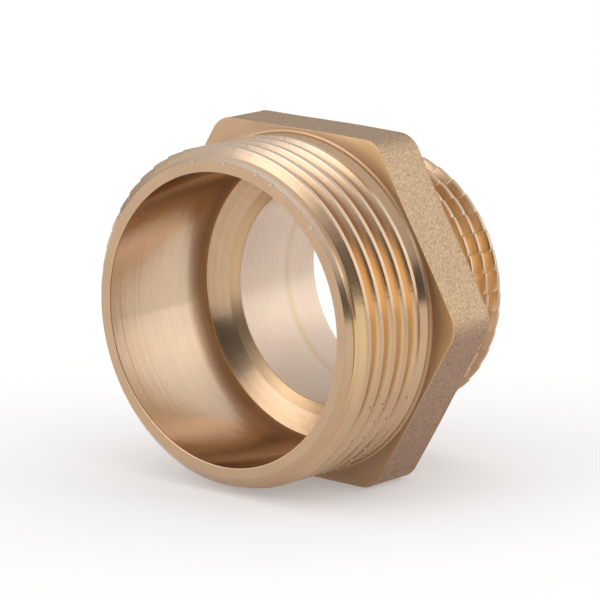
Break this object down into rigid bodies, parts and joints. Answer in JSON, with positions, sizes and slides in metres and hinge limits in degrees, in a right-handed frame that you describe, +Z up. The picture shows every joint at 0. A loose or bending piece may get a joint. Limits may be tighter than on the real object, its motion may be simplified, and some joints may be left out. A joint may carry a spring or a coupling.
{
  "type": "reducing hexagon pipe nipple",
  "caption": "One-piece brass reducing nipple: male G 1 1/4 thread, wrench hexagon, male G 1 thread, stepped bore right through.",
  "frame": {"origin": "middle of the length, under the pipe axis, on the hexagon flat that the part rests on", "axes": "+X along the pipe axis from the large end to the small end, +Z up out of the hexagon's top flat, +Y across"},
  "size_m": [0.034, 0.0486, 0.043],
  "materials": {
    "brass": "turned bright on the threads, rims, bore and the hexagon's front face; flats as forged and grit blasted"
  },
  "bodies": {
    "root": {"nipple": "brass"}
  },
  "joints": []
}
